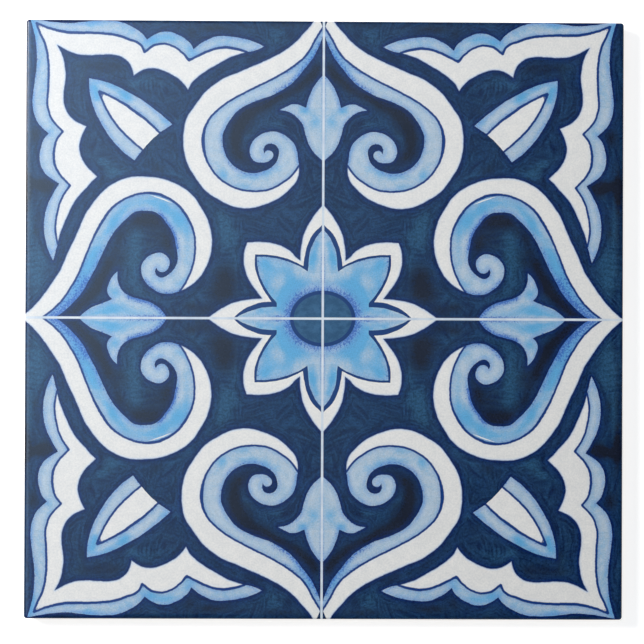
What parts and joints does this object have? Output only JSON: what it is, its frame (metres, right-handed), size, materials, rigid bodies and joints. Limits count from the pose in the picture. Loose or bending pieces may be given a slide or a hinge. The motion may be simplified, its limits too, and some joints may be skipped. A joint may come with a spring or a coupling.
{
  "type": "moroccan ceramic tile",
  "caption": "Square glazed ceramic wall tile with a rolled face edge, drafted sides and a keyed back of shallow pockets; it is bedded on its back in adhesive.",
  "frame": {"origin": "centre of the back, on the plane of its ribs", "axes": "+Z out of the glazed face; X and Y along the tile's sides, with +Y towards the top of the picture"},
  "size_m": [0.1524, 0.1524, 0.007],
  "materials": {
    "glazed_ceramic": "satin glaze, navy, sky blue and white ornament on an off-white body"
  },
  "bodies": {
    "root": {"tile": "glazed_ceramic"}
  },
  "joints": []
}
